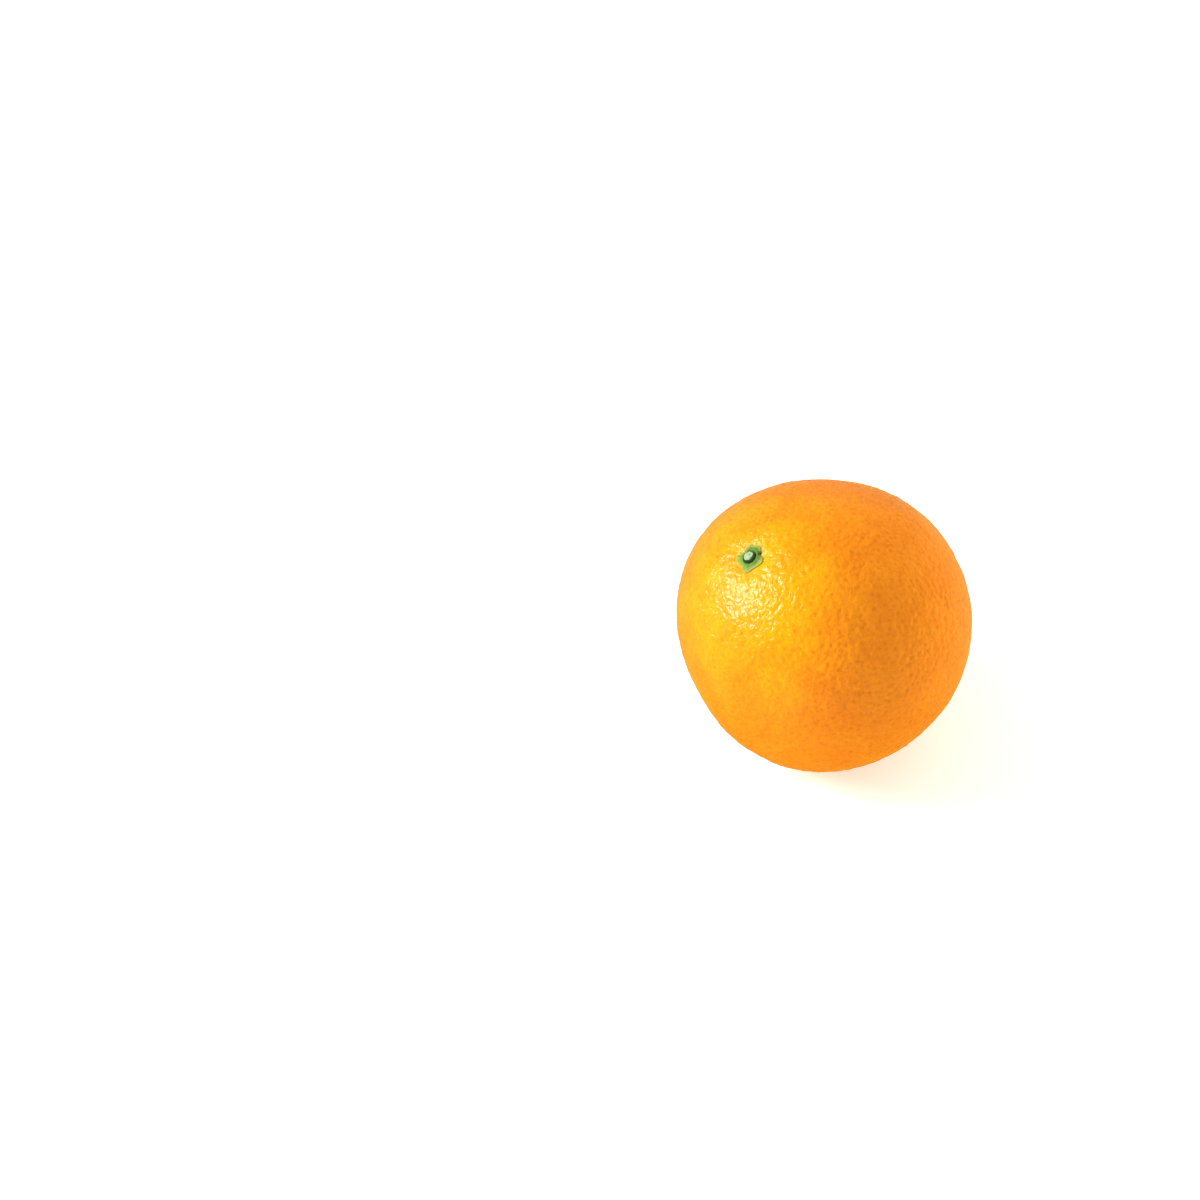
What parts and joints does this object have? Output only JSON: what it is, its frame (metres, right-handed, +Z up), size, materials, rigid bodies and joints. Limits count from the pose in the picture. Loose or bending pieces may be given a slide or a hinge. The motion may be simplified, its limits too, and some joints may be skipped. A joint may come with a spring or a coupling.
{
  "type": "orange",
  "caption": "Whole fresh orange lying on its side on a small flat spot, with its green star-shaped calyx and short clipped stem at one end.",
  "frame": {"origin": "the middle of the flat spot on the underside, on the surface that the fruit rests on, under its centre", "axes": "+Z up from the surface it rests on; the stem end leans 35.5 degrees from upright towards -X and a little towards -Y; -Y is the front"},
  "size_m": [0.0776, 0.0778, 0.0768],
  "materials": {
    "rind": "satin",
    "calyx": "matte",
    "stem": "matte"
  },
  "bodies": {
    "root": {"fruit": "rind", "calyx": "calyx", "stem_stub": "stem"}
  },
  "joints": []
}
